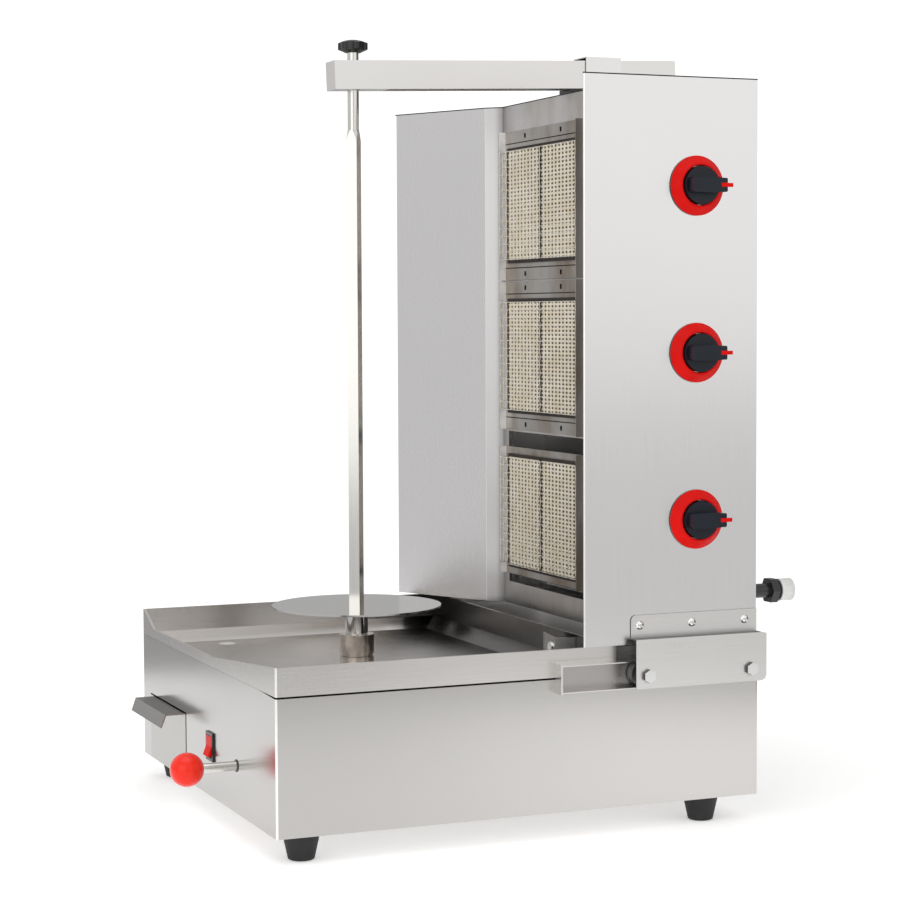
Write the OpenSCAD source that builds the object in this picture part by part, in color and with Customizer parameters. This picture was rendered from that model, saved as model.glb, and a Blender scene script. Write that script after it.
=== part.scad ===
// Vertical gas spit grill with three infrared burners on a rolling tower.
// Working frame: X = 0 on the machine's middle plane, Y = 0 on the base's front face, Z = 0 under
// the feet. place() moves a piece from there to the part's frame, whose origin is the middle of
// the whole object's footprint.

/* [Base] */
// Width of the base box
base_w = 520; // [500:10:540]
// Depth of the base box
base_d = 567; // [560:1:580]
// Height of the rubber feet
foot_h = 28; // [20:1:34]
// Radius of a foot at its top
foot_r = 20; // [16:1:20]
// Height of the tray rim above the table
rim_z = 206; // [202:1:206]
// Depth of the drip tray, front to back
tray_d = 390; // [380:1:392]

/* [Tower] */
// Width over the tower's side panels
tower_w = 548; // [544:1:556]
// Height of the tower's top above the table
tower_top_z = 822.8; // [815:0.1:835]
// Front edge of the tower's side panels, with the tower pushed back
tower_front_y = 343.2; // [338:0.1:348]
// Rear face of the tower
tower_rear_y = 556; // [552:1:560]
// Travel of the tower towards the spit
tower_travel = 80; // [60:1:80]

/* [Burners] */
// Half width of a burner's glowing face
tile_half_w = 93; // [88:1:94]
// Half height of a burner's glowing face
tile_half_h = 66; // [62:1:66]
// Heights of the three burner centres, lowest first
burner_z = [326, 516, 699];
// Heights of the three gas knobs, lowest first
knob_z = [342, 524, 705];

/* [Spit] */
// Distance of the spit's axis from the front face
spit_y = 185; // [182:1:188]
// Side of the square spit bar
bar_w = 13; // [12:0.5:13]
// Radius of the meat disc
disc_r = 98; // [80:1:98]
// Angle the spit stands at, in degrees
spit_turn = -43; // [-90:1:90]
// Droop of the top arm towards its free end, in degrees
arm_droop = 2.1; // [1.8:0.1:2.3]

/* [Hidden] */
$fn = 64;

t = 1.2;                        // sheet thickness
bend_r = 2.2;                   // outer radius of the base's upright bends
fold_r = 1.7;                   // outer radius of the tower's front folds
gap = 0.1;                      // gap between sheets of one body that only touch
big = 40;                       // how far a cutter runs past the sheet it cuts
steel = [0.78, 0.77, 0.75];
dark_steel = [0.42, 0.41, 0.40];
black = [0.09, 0.09, 0.10];
red = [0.86, 0.10, 0.06];
brass = [0.78, 0.62, 0.30];
cream = [0.87, 0.82, 0.68];

// Base and tray
half_w = base_w / 2;
floor_z = foot_h;
band_h = 30.5;                  // height of the tray's outer band
band_z = rim_z - band_h;
side_top_z = band_z - 2;        // casing's side walls stop under the band
deck_side_z = 190;              // and rise again behind the tray
tray_floor_z = 165;
tray_knee_z = 177.4;            // where the tray's walls turn into sloping strips
tray_slope = 22;                // width of a sloping strip
tray_wall = 3;                  // hemmed rim of the tray
lip_z = 186.5;                  // low front lip of the tray
lip_left_x = -211;
lip_right_x = 30;
drain_x = -205;
drain_y = 91;
drain_r = 10.5;
spout_z = 120;
deck_z = 184;
ledge_w = 31;
foot_inset_x = 25;
foot_front_y = 35;
foot_rear_y = 508;

// Drawer
drawer_x0 = -225;
drawer_x1 = -73;
drawer_top_z = 105.5;
drawer_gap = 1.5;
drawer_len = 320;
drawer_side_h = 70;
handle_x0 = -208;
handle_out = 24;
handle_lip = 15;
handle_tilt = 20;

// Switch
switch_x = 27;
switch_z = 85;
switch_w = 25.5;
switch_h = 32;
rocker_w = 19.4;
rocker_tilt = 11;
trunnion_r = 1.5;

// Push rod
rod_x = 123;
rod_z = 80.5;
rod_r = 5.25;
rod_link_y = 485;
ball_y = -55.3;
ball_r = 18.4;

// Rails, rollers and side brackets
rail_front_y = 316;
rail_z0 = 160;
rail_z1 = 190;
rail_out = 15.4;
roller_r = 13.5;
roller_z = 175;
roller_y = [415, 542];
roller_x0 = 3;                  // roller's inner face, from the base's side
roller_w = 11;
bolt_r = 4;
bolt_fit = 0.06;
cover_out = 14;                 // how far the cover stands out from the tower's side
bracket_front_y = 400;
bracket_rear_y = 556;
cover_rear_y = 561.6;
bracket_top_z = 240;
bracket_fold_z = 215;
cover_z = 161.2;
screw_z = 229;
screw_y = [410.5, 474.5, 540.4];
screw_r = 2;
bolt_head_h = 4.2;

// Tower
half_t = tower_w / 2;
tower_z = 208.3;
wing_x = 142;                   // inner edge of a reflector wing
wing_y = 411.3;
panel_x = 126.3;                // where the strip beside the burners meets their panel
recess_y = 428;                 // front face of the burner panel
wing_slope = (wing_y - tower_front_y) / (half_t - wing_x);
wing_angle = atan(wing_slope);
fold_l = fold_r / tan((90 - wing_angle) / 2);
strip_angle = atan2(recess_y - wing_y, wing_x - panel_x);
half_bend = (strip_angle - wing_angle) / 2;
// Inner corner of the bent sheet, for each millimetre of its thickness
mean_angle = (strip_angle + wing_angle) / 2;
corner = [sin(mean_angle) / cos(half_bend), cos(mean_angle) / cos(half_bend)];
inside = t + gap;
wing_inside = inside / cos(wing_angle);

// Burners
flange_half_w = 109;
flange_y = 423.6;                // front face of a burner's flange
slot_x = 50;
slot_z = 17;                     // above and below the burner plates
groove_z = 9.7;
flange_h = [13, 25, 25];        // height of a burner's flange above and below its face
tile_y = 421;
tile_t = 13;
plenum_rear_y = 466;
guard_y = 414;
guard_half_w = 107.5;
guard_pitch = 15;
guard_bar = 2;
venturi_r = 13.6;
venturi_x0 = -70;
venturi_x1 = 150;
port_w = 30;

// Gas line
gas_y = 480;                    // axis of the knobs, valves and venturis
manifold_x = half_t - 18;
manifold_y = 507;
manifold_r = 8;
inlet_z = 256.5;
inlet_hex_y = 581;
inlet_thread_y = 594;
thread_r = 10.48;
thread_len = 12;
cap_fit = 0.06;
cap_r = 12.4;
cap_end_y = 610;
valve_r = 11;
valve_x0 = half_t - 28;
spindle_r = 3;
bezel_r = 32.5;
bezel_inner_r = 21.6;
knob_r = 20.5;
knob_out = 26;                  // height of a knob above the side panel
knob_reach = 24.5;                // length of its grip bar past the axis

// Spit and drive
hub_r = 20;
hub_top_z = 198;
hub_z = 173.3;
hub_stem_r = 12;
hub_stem_z = 145;
bar_z = 172;
bar_top_z = 765;
taper_h = 13;
pin_r = 6.5;
disc_z = 230;
disc_t = 2;
knob_low_z = 865.6;
knob_top_z = 880.4;
shaft_r = 6;
gearbox_half = 43;
gearbox_z = 96;
gearbox_top_z = 136;
boss_top_z = 141;

// Arm
arm_w = 30;
arm_h = 32.6;
arm_t = 1.5;
arm_front_y = 157;
arm_rear_y = 593;
arm_pivot_y = 492;
arm_top_z = 867.2;               // top of the arm at arm_pivot_y
arm_hole_r = 7.5;
arm_bracket_y = [473, 519];
arm_bracket_z = 870;

// Middle of the footprint, in the working frame
x_high = half_t + knob_out;
x_low = -(half_t + cover_out + bolt_head_h + gap);
y_low = ball_y - ball_r;
y_high = cap_end_y;
origin_x = (x_high + x_low) / 2;
origin_y = (y_low + y_high) / 2;

module place() {
    translate([-origin_x, -origin_y, 0]) children();
}

// A box given by its lowest and highest corners
module box(a, b) {
    translate(a) cube(b - a);
}

// A straight cylinder along X, Y or Z that starts at p
module rod_along_x(p, r, h) {
    translate(p) rotate([0, 90, 0]) cylinder(r = r, h = h);
}

module rod_along_y(p, r, h) {
    translate(p) rotate([-90, 0, 0]) cylinder(r = r, h = h);
}

module rod_along_z(p, r, h) {
    translate(p) cylinder(r = r, h = h);
}

// A flat outline in X and Z, pushed from y0 to y1
module plate_xz(y0, y1) {
    translate([0, y1, 0]) rotate([90, 0, 0]) linear_extrude(height = y1 - y0) children();
}

// A flat outline in Y and Z, pushed from x0 to x1
module plate_yz(x0, x1) {
    translate([x0, 0, 0]) rotate([90, 0, 90]) linear_extrude(height = x1 - x0) children();
}

// The same thing on the right (1) or mirrored to the left (-1)
module on_side(side) {
    if (side > 0) children();
    else mirror([1, 0, 0]) children();
}

// What a bend of radius r leaves out at the upright corner (x, y) of a box; out_x and out_y point away
// from the box
module corner_waste(x, y, out_x, out_y, r) {
    translate([x, y, -1]) scale([out_x, out_y, 1]) difference() {
        translate([-r, -r, 0]) cube([r + 1, r + 1, 300]);
        translate([-r, -r, -1]) cylinder(r = r, h = 302);
    }
}

// ---- Base ----

module side_outline(top_front, top_rear) {
    polygon([
        [0, floor_z], [base_d, floor_z], [base_d, top_rear], [tray_d + 0.5, top_rear],
        [tray_d + 0.5, top_front], [0, top_front]
    ]);
}

module base_casing() {
    color(steel) place() difference() {
        union() {
            for (side = [-1, 1]) on_side(side) {
                plate_yz(half_w - t, half_w) side_outline(side_top_z, deck_side_z);
                box([half_w - ledge_w, 10, tray_floor_z - 2 * t], [half_w, tray_d, tray_floor_z - t]);
            }
            plate_xz(0, t) polygon([
                [-half_w, floor_z], [half_w, floor_z], [half_w, side_top_z],
                [half_w - 55, band_z - 0.2], [-half_w, band_z - 0.2]
            ]);
            box([-half_w, base_d - t, floor_z], [half_w, base_d, deck_side_z]);
        }
        box([drawer_x0 - drawer_gap, -big, 0], [drawer_x1 + drawer_gap, big, drawer_top_z + drawer_gap]);
        box([switch_x - 11.6, -big, switch_z - 14.1], [switch_x + 11.6, big, switch_z + 14.1]);
        rod_along_y([rod_x, -big, rod_z], 6.9, 2 * big);
        rod_along_y([-150, base_d - big, 90], 9, 2 * big);
        for (side = [-1, 1]) {
            corner_waste(side * half_w, 0, side, -1, bend_r);
            corner_waste(side * half_w, base_d, side, 1, bend_r);
        }
    }
}

module bottom_plate() {
    color(steel) place() difference() {
        box([-half_w + inside, inside, floor_z], [half_w - inside, base_d - inside, floor_z + t]);
        for (i = [0:5]) box([-30, 300 + 18 * i, 0], [60, 306 + 18 * i, big]);
    }
}

module foot() {
    rotate_extrude() polygon([
        [0, 0], [foot_r - 8, 0], [foot_r - 6, 1], [foot_r - 5.4, 3.2], [foot_r, foot_h], [0, foot_h]
    ]);
}

module feet() {
    color(black) place() for (x = [-1, 1]) for (y = [foot_front_y, foot_rear_y])
        translate([x * (half_w - foot_inset_x), y, 0]) foot();
}

module rear_deck() {
    color(dark_steel) place() difference() {
        union() {
            box([-half_w + inside, tray_d + 1, deck_z], [half_w - inside, base_d - inside, deck_z + t]);
            box([-half_w + inside, tray_d + 1, tray_floor_z], [half_w - inside, tray_d + 1 + t, deck_z + t]);
        }
        box([rod_x - 16, tray_d + 4, 0], [rod_x + 16, rod_link_y + 8, deck_z + big]);
    }
}

// Outline of the tray's body in X or Y and Z, from a to b, drawn in by d and with its floor at z
module tray_outline(a, b, d, z) {
    polygon([
        [a + d, rim_z + d], [a + d, tray_knee_z - (tray_floor_z - z)], [a + d + tray_slope, z],
        [b - d - tray_slope, z], [b - d, tray_knee_z - (tray_floor_z - z)], [b - d, rim_z + d]
    ]);
}

module tray_body(d, z) {
    intersection() {
        plate_xz(-1, tray_d + 1) tray_outline(-half_w, half_w, d, z);
        plate_yz(-half_w, half_w) tray_outline(0, tray_d, d, z);
    }
}

module drip_tray() {
    color(steel) place() difference() {
        union() {
            intersection() {
                tray_body(tray_wall - t, tray_floor_z - t);
                box([-half_w, 0, 0], [half_w, tray_d, rim_z]);
            }
            box([-half_w, 0, band_z], [half_w, tray_d, rim_z]);
            rod_along_z([drain_x, drain_y, spout_z], drain_r + t, tray_floor_z - spout_z);
        }
        tray_body(tray_wall, tray_floor_z);
        plate_xz(-1, tray_wall + 0.01) polygon([
            [-half_w + tray_wall, rim_z + 1], [-half_w + tray_wall, rim_z], [lip_left_x, lip_z],
            [lip_right_x, lip_z], [half_w - tray_wall, rim_z], [half_w - tray_wall, rim_z + 1]
        ]);
        rod_along_z([drain_x, drain_y, 0], drain_r, rim_z);
        rod_along_z([0, spit_y, 0], 16.5, rim_z);
        for (side = [-1, 1]) corner_waste(side * half_w, 0, side, -1, bend_r);
    }
}

stop_x = 157;
stop_y = 364;
stop_screw_x = stop_x - 7;

module tray_stop() {
    color(steel) place() difference() {
        translate([stop_x, stop_y, 0]) union() {
            rotate([0, 0, 70]) box([0, 0, 180], [24, t, 203]);
            rotate([0, 0, 170]) box([0, -t, 180], [48, 0, 203]);
        }
        rod_along_y([stop_screw_x, stop_y - big, 192], 3.1, 2 * big);
    }
}

module tray_stop_screw() {
    color(steel) place() union() {
        rod_along_y([stop_screw_x, stop_y - 1, 192], 3, 12);
        rod_along_y([stop_screw_x, stop_y - 3, 192], 5.5, 2.8);
    }
}

module drawer_runners() {
    color(dark_steel) place() for (side = [0, 1]) {
        edge = side == 0 ? drawer_x0 - 2 : drawer_x1 + 2;
        out = side == 0 ? -1 : 1;
        box([min(edge, edge + out * t), 6, floor_z + t], [max(edge, edge + out * t), 335, 66]);
        box([min(edge, edge - out * 14), 6, floor_z + t], [max(edge, edge - out * 14), 335, floor_z + 2 * t]);
    }
}

module rail() {
    box([half_w + gap, rail_front_y, rail_z0], [half_w + gap + t, base_d - 2, rail_z1]);
    for (z = [rail_z0, rail_z1 - t])
        box([half_w + gap, rail_front_y, z], [half_w + rail_out, base_d - 2, z + t]);
    box([half_w + gap, rail_front_y, rail_z0 - 1.2],
        [half_w + rail_out + 0.6, rail_front_y + 2, rail_z1 + 1.2]);
}

module rail_right() {
    color(steel) place() rail();
}

module rail_left() {
    color(steel) place() mirror([1, 0, 0]) rail();
}

// ---- Drive ----

module motor_bracket() {
    color(dark_steel) place() difference() {
        union() {
            box([-62, spit_y - 45, gearbox_top_z], [62, spit_y + 45, gearbox_top_z + 3]);
            for (side = [-1, 1]) on_side(side) {
                box([59, spit_y - 45, floor_z + t], [62, spit_y + 45, gearbox_top_z + 3]);
                box([46, spit_y - 45, floor_z + t], [62, spit_y + 45, floor_z + t + 3]);
            }
        }
        rod_along_z([0, spit_y, gearbox_top_z - big], 20.1, 2 * big);
    }
}

module gearmotor() {
    color(dark_steel) place() difference() {
        union() {
            box([-gearbox_half, spit_y - gearbox_half, gearbox_z],
                [gearbox_half, spit_y + gearbox_half, gearbox_top_z - gap]);
            rod_along_z([0, spit_y, gearbox_z], 20, boss_top_z - gearbox_z);
            rod_along_z([0, spit_y, 38], 36, gearbox_z - 38);
        }
        rod_along_z([0, spit_y, 110], shaft_r + 0.06, big);
    }
}

module bearing_housing() {
    color(dark_steel) place() difference() {
        union() {
            rod_along_z([0, spit_y, boss_top_z], 24, 17);
            rod_along_z([0, spit_y, 158], 32, tray_floor_z - t - gap - 158);
            rod_along_z([0, spit_y, 158], 16.2, 169.4 - 158);
        }
        rod_along_z([0, spit_y, 0], hub_stem_r + 0.05, 200);
    }
}

module hub_seal() {
    color(steel) place() difference() {
        rod_along_z([0, spit_y, tray_floor_z], hub_r, hub_z - 0.4 - tray_floor_z);
        rod_along_z([0, spit_y, 0], 16.3, 200);
    }
}

module drive_hub() {
    color(steel) place() difference() {
        union() {
            rod_along_z([0, spit_y, hub_z + 2.4], hub_r, hub_top_z - hub_z - 2.4);
            rod_along_z([0, spit_y, hub_z], hub_r - 1.5, hub_top_z - hub_z);
            rod_along_z([0, spit_y, hub_stem_z], hub_stem_r, hub_z - hub_stem_z + 1);
        }
        translate([0, spit_y, bar_z - 0.5 + big / 2]) rotate([0, 0, spit_turn])
            cube([bar_w + 0.3, bar_w + 0.3, big], center = true);
        rod_along_z([0, spit_y, hub_stem_z - 1], shaft_r + 0.02, 19);
    }
}

module motor_shaft() {
    color(steel) place() rod_along_z([0, spit_y, 112], shaft_r, 50);
}

module spit_bar() {
    color(steel) place() translate([0, spit_y, 0]) rotate([0, 0, spit_turn]) union() {
        translate([-bar_w / 2, -bar_w / 2, bar_z]) cube([bar_w, bar_w, bar_top_z - bar_z]);
        intersection() {
            translate([-bar_w / 2, -bar_w / 2, bar_top_z]) cube([bar_w, bar_w, taper_h]);
            translate([0, 0, bar_top_z]) cylinder(r1 = bar_w * 0.71, r2 = pin_r, h = taper_h);
        }
        translate([0, 0, bar_top_z + taper_h - 0.01])
            cylinder(r = pin_r, h = knob_low_z + 8 - bar_top_z - taper_h);
    }
}

module meat_disc() {
    color(steel) place() translate([0, spit_y, 0]) difference() {
        union() {
            translate([0, 0, disc_z]) cylinder(r = disc_r, h = disc_t, $fn = 128);
            translate([0, 0, hub_top_z + 0.3]) cylinder(r = 13, h = disc_z - hub_top_z);
        }
        translate([0, 0, 220]) rotate([0, 0, spit_turn]) cube([bar_w + 0.1, bar_w + 0.1, 100], center = true);
    }
}

module top_knob() {
    lobes = 6;
    color(black) place() translate([0, spit_y, 0]) difference() {
        intersection() {
            union() {
                translate([0, 0, knob_low_z]) cylinder(r = 14.4, h = 20);
                for (i = [0:lobes - 1]) rotate([0, 0, i * 360 / lobes])
                    translate([12.6, 0, knob_low_z]) cylinder(r = 4.6, h = 20, $fn = 32);
            }
            translate([0, 0, knob_low_z]) rotate_extrude() polygon([
                [0, 0], [9, 0], [11, 1], [18, 4], [18, 10.6], [15.5, 11.4], [11, 13.2], [5.5, 14.4],
                [0, knob_top_z - knob_low_z]
            ]);
        }
        translate([0, 0, knob_low_z - big]) cylinder(r = pin_r + 0.05, h = big + 8.2);
    }
}

// ---- Small pieces on the base ----

module switch_bezel() {
    color(black) place() translate([switch_x, 0, switch_z]) difference() {
        union() {
            box([-switch_w / 2, -2.2, -switch_h / 2], [switch_w / 2, -gap, switch_h / 2]);
            box([-11.4, -2.2, -13.9], [11.4, 24, 13.9]);
        }
        box([-10.1, -big, -12.5], [10.1, 14, 12.5]);
        rod_along_x([-11, 0, 0], trunnion_r + 0.05, 22);
    }
}

module switch_rocker() {
    color(red) place() translate([switch_x, 0, switch_z]) rotate([-rocker_tilt, 0, 0])
        plate_yz(-rocker_w / 2, rocker_w / 2)
            polygon([[-4.6, 11.3], [-2.6, 0], [-4.6, -11.3], [4, -9], [4, 9]]);
    color(red) place() rod_along_x([switch_x - 10.9, 0, switch_z], trunnion_r, 21.8);
}

module rod_bush() {
    color(black) place() difference() {
        union() {
            rod_along_y([rod_x, -0.8, rod_z], 6.8, 20);
            rod_along_y([rod_x, inside, rod_z], 11, 3);
        }
        rod_along_y([rod_x, -big, rod_z], rod_r + 0.08, 3 * big);
    }
}

module cable_gland() {
    color(black) place() difference() {
        union() {
            rod_along_y([-150, base_d - 8, 90], 8.9, 18);
            rod_along_y([-150, base_d + gap, 90], 13, 5);
        }
        rod_along_y([-150, base_d - big, 90], 4.5, 3 * big);
    }
}

module drawer_box() {
    color(steel) place() difference() {
        box([drawer_x0 + 0.5, t / 2 + gap, floor_z + 2 * t + 0.3],
            [drawer_x1 - 0.5, drawer_len, floor_z + drawer_side_h]);
        box([drawer_x0 + 0.5 + t, t / 2 + gap + t, floor_z + 3 * t + 0.3],
            [drawer_x1 - 0.5 - t, drawer_len - t, floor_z + drawer_side_h + 1]);
    }
}

module drawer_front() {
    top = drawer_top_z;
    lean = handle_lip * tan(handle_tilt);
    color(steel) place() union() {
        box([drawer_x0, -t / 2, floor_z + 0.5], [drawer_x1, t / 2, top]);
        plate_yz(handle_x0, drawer_x1 - 2) polygon([
            [0, top - t], [0, top], [-handle_out, top], [-handle_out - lean, top - handle_lip],
            [-handle_out - lean + t, top - handle_lip], [-handle_out + 1, top - t]
        ]);
    }
}

// ---- Tower ----

module tower_side() {
    difference() {
        translate([0, 0, tower_z]) linear_extrude(height = tower_top_z - t - gap - tower_z) polygon([
            [half_t, tower_front_y], [half_t, tower_rear_y], [half_t - t, tower_rear_y],
            [half_t - t, tower_front_y + t * wing_slope + t / cos(wing_angle)],
            [wing_x + corner[0] * t, wing_y + corner[1] * t],
            [panel_x + t, recess_y + t], [panel_x, recess_y + t], [panel_x, recess_y], [wing_x, wing_y]
        ]);
        for (y = screw_y) rod_along_x([half_t - big, y, screw_z], screw_r + gap, 2 * big);
        translate([0, 0, tower_z - 1]) linear_extrude(height = tower_top_z) difference() {
            polygon([
                [half_t, tower_front_y + fold_l], [half_t + 1, tower_front_y + fold_l],
                [half_t + 1, tower_front_y - 3],
                [half_t - fold_l * cos(wing_angle) - 2 * sin(wing_angle),
                 tower_front_y + fold_l * sin(wing_angle) - 2 * cos(wing_angle)],
                [half_t - fold_l * cos(wing_angle), tower_front_y + fold_l * sin(wing_angle)]
            ]);
            translate([half_t - fold_r, tower_front_y + fold_l]) circle(r = fold_r);
        }
    }
}

module tower_side_right() {
    color(steel) place() difference() {
        tower_side();
        for (z = knob_z) rod_along_x([half_t - big, gas_y, z], spindle_r + 2, 2 * big);
    }
}

module tower_side_left() {
    color(steel) place() mirror([1, 0, 0]) tower_side();
}

module tower_outline(d, dw) {
    polygon([
        [half_t - d, tower_front_y + d * wing_slope + dw], [half_t - d, tower_rear_y - d],
        [-half_t + d, tower_rear_y - d], [-half_t + d, tower_front_y + d * wing_slope + dw],
        [-wing_x - corner[0] * d, wing_y + corner[1] * d], [-panel_x - d, recess_y + d],
        [panel_x + d, recess_y + d], [wing_x + corner[0] * d, wing_y + corner[1] * d]
    ]);
}

module tower_top() {
    color(steel) place() translate([0, 0, tower_top_z - t]) linear_extrude(height = t) tower_outline(0, 0);
}

module tower_bottom() {
    color(dark_steel) place() translate([0, 0, tower_z]) linear_extrude(height = t)
        tower_outline(inside, wing_inside);
}

module tower_back() {
    slots = 5;
    color(steel) place() difference() {
        box([-half_t + inside, tower_rear_y - t, tower_z + inside],
            [half_t - inside, tower_rear_y, tower_top_z - t - gap]);
        for (z = burner_z) for (i = [0:slots - 1]) for (x = [-150, 0])
            box([x, tower_rear_y - big, z - 34 + 14 * i], [x + 110, tower_rear_y + big, z - 28 + 14 * i]);
        rod_along_y([manifold_x, tower_rear_y - big, inlet_z], manifold_r + 2, 2 * big);
    }
}

module burner_panel() {
    w = panel_x - gap;
    color(steel) place() difference() {
        box([-w, recess_y, tower_z + inside], [w, recess_y + t, tower_top_z - t - gap]);
        for (i = [0:2]) box([-tile_half_w - 3.2, 0, burner_z[i] - tile_half_h - 3.2],
                            [tile_half_w + 3.2, 900, burner_z[i] + tile_half_h + 3.2]);
        box([-flange_half_w, 0, 236], [flange_half_w, 900, burner_z[0] - tile_half_h - flange_h[0] + 4]);
        box([-flange_half_w, 0, burner_z[0] + tile_half_h + flange_h[0] - 4],
            [flange_half_w, 900, burner_z[1] - tile_half_h - flange_h[1] - 2]);
    }
}

// The burner's flange: its ends are folded forward, its upper and lower edges back
module burner_flange(z, zf) {
    difference() {
        box([-flange_half_w, flange_y, z - zf], [flange_half_w, recess_y - gap, z + zf]);
        box([-200, flange_y + t, z - zf + t], [200, recess_y, z + zf - t]);
    }
    for (side = [-1, 1]) on_side(side)
        box([flange_half_w - t, guard_y + 0.6, z - zf], [flange_half_w, flange_y + t, z + zf]);
}

module burner(i) {
    z = burner_z[i];
    zf = tile_half_h + flange_h[i] - 0.5;
    color(dark_steel) place() union() {
        difference() {
            union() {
                burner_flange(z, zf);
                box([-tile_half_w - 3, tile_y - 0.6, z - tile_half_h - 4],
                    [tile_half_w + 3, recess_y - gap, z + tile_half_h + 4]);
                box([-tile_half_w - 3, recess_y - 1, z - tile_half_h - 3],
                    [tile_half_w + 3, plenum_rear_y, z + tile_half_h + 3]);
                rod_along_x([venturi_x0, gas_y, knob_z[i]], venturi_r + 1, venturi_x1 - venturi_x0);
                box([venturi_x0, plenum_rear_y - t, knob_z[i] - 12],
                    [venturi_x0 + port_w, gas_y, knob_z[i] + 12]);
            }
            box([-tile_half_w - 0.2, 0, z - tile_half_h - 0.2],
                [tile_half_w + 0.2, tile_y + tile_t + 0.1, z + tile_half_h + 0.2]);
            box([-tile_half_w + 3, 430, z - tile_half_h + 3],
                [tile_half_w - 3, plenum_rear_y - t, z + tile_half_h - 3]);
            rod_along_x([venturi_x0 + t, gas_y, knob_z[i]], venturi_r, venturi_x1 - venturi_x0);
            box([venturi_x0 + t, plenum_rear_y - 3, knob_z[i] - 10],
                [venturi_x0 + port_w - t, gas_y, knob_z[i] + 10]);
            if (flange_h[i] > 20) for (s = [-1, 1]) {
                for (x = [-slot_x, slot_x])
                    translate([x, flange_y, z + s * (tile_half_h + slot_z)]) cube([5, 4, 5.6], center = true);
                translate([-7, flange_y, z + s * (tile_half_h + groove_z)])
                    cube([200, 1.5, 1.3], center = true);
            }
        }
        box([-2.2, tile_y - 1.6, z - tile_half_h - 2], [2.2, tile_y - 0.4, z + tile_half_h + 2]);
        for (s = [-1, 1]) box([-2.2, tile_y - 1.6, z + s * (tile_half_h + 1.2) - 0.8],
                              [2.2, tile_y + 0.4, z + s * (tile_half_h + 1.2) + 0.8]);
    }
}

module burner_1() { burner(0); }
module burner_2() { burner(1); }
module burner_3() { burner(2); }

module ceramic_tiles() {
    color(cream) place() for (z = burner_z) for (side = [-1, 1]) on_side(side)
        box([0.6, tile_y, z - tile_half_h], [tile_half_w, tile_y + tile_t, z + tile_half_h]);
}

module guard(z) {
    cols = 12;
    rows = 8;
    dx = 2 * guard_half_w / cols;
    dz = 2 * tile_half_h / rows;
    difference() {
        union() {
            box([-guard_half_w, guard_y, z - tile_half_h], [guard_half_w, guard_y + 1, z + tile_half_h]);
            for (side = [-1, 1]) on_side(side)
                box([guard_half_w - 1, guard_y, z - tile_half_h],
                    [guard_half_w, flange_y - gap, z + tile_half_h]);
        }
        for (c = [0:cols - 1]) for (r = [0:rows - 1])
            box([-guard_half_w + c * dx + guard_bar / 2, guard_y - 1,
                 z - tile_half_h + r * dz + guard_bar / 2],
                [-guard_half_w + (c + 1) * dx - guard_bar / 2, guard_y + 1.01,
                 z - tile_half_h + (r + 1) * dz - guard_bar / 2]);
    }
}

module wire_guards() {
    color(steel) place() for (z = burner_z) guard(z);
}

// ---- Gas line ----

module gas_manifold() {
    color(black) place() union() {
        rod_along_z([manifold_x, manifold_y, inlet_z - manifold_r], manifold_r,
                    knob_z[2] + 20 + manifold_r - inlet_z);
        rod_along_y([manifold_x, manifold_y, inlet_z], manifold_r, inlet_hex_y + 2 - manifold_y);
        translate([manifold_x, inlet_hex_y, inlet_z]) rotate([-90, 0, 0]) cylinder(r = 15, h = 9, $fn = 6);
        rod_along_y([manifold_x, inlet_hex_y, inlet_z], 10, inlet_thread_y - inlet_hex_y);
        rod_along_y([manifold_x, inlet_thread_y - 1, inlet_z], thread_r, thread_len + 1);
    }
}

module gas_cap() {
    color([0.9, 0.9, 0.88]) place() difference() {
        rod_along_y([manifold_x, inlet_thread_y + 0.4, inlet_z], cap_r, cap_end_y - inlet_thread_y - 0.4);
        rod_along_y([manifold_x, inlet_thread_y - 5, inlet_z], thread_r + cap_fit, thread_len + 6);
    }
}

module gas_valves() {
    color(brass) place() for (z = knob_z) difference() {
        union() {
            rod_along_x([valve_x0, gas_y, z], valve_r, half_t - t - gap - valve_x0);
            rod_along_y([manifold_x, gas_y, z], 7, manifold_y - gas_y);
        }
        rod_along_z([manifold_x, manifold_y, 0], manifold_r + 0.05, 900);
        rod_along_x([half_t - 21, gas_y, z], spindle_r + 0.06, big);
    }
}

module gas_injectors() {
    color(brass) place() for (z = knob_z) union() {
        rod_along_x([venturi_x1 + 16, gas_y, z], 4, valve_x0 - gap - venturi_x1 - 16);
        translate([venturi_x1 + 8, gas_y, z]) rotate([0, 90, 0]) cylinder(r = 8, h = 10, $fn = 6);
        translate([venturi_x1 + 2, gas_y, z]) rotate([0, 90, 0]) cylinder(r1 = 2.5, r2 = 5, h = 6.01);
    }
}

module knob_bezels() {
    color(red) place() for (z = knob_z) translate([half_t + gap, gas_y, z]) rotate([0, 90, 0])
        rotate_extrude($fn = 96) polygon([
            [bezel_inner_r, 0], [bezel_r, 0], [bezel_r, 1.6], [bezel_r - 1, 2.2], [bezel_r - 4.5, 6.2],
            [bezel_inner_r + 2.4, 10], [bezel_inner_r + 0.8, 10.4], [bezel_inner_r, 9.8]
        ]);
}

module knob(i) {
    color(black) place() translate([half_t, gas_y, knob_z[i]]) difference() {
        union() {
            rod_along_x([4, 0, 0], knob_r, 11);
            plate_yz(14, knob_out - 0.4) polygon([
                [-17.5, -6], [-15.5, -8], [10, -8.7], [17, -7.7], [knob_reach - 1, -7.5], [knob_reach, -6.5],
                [knob_reach, 6.5], [knob_reach - 1, 7.5], [17, 7.7], [10, 8.7], [-15.5, 8], [-17.5, 6]
            ]);
            box([knob_out - 3.6, 17, -2.1], [knob_out, knob_reach + 6.5, 2.1]);
        }
        rod_along_x([-big, 0, 0], spindle_r + 0.03, big + 12);
    }
}

module valve_spindle(i) {
    color(brass) place() rod_along_x([half_t - 17, gas_y, knob_z[i]], spindle_r, 28);
}

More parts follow.
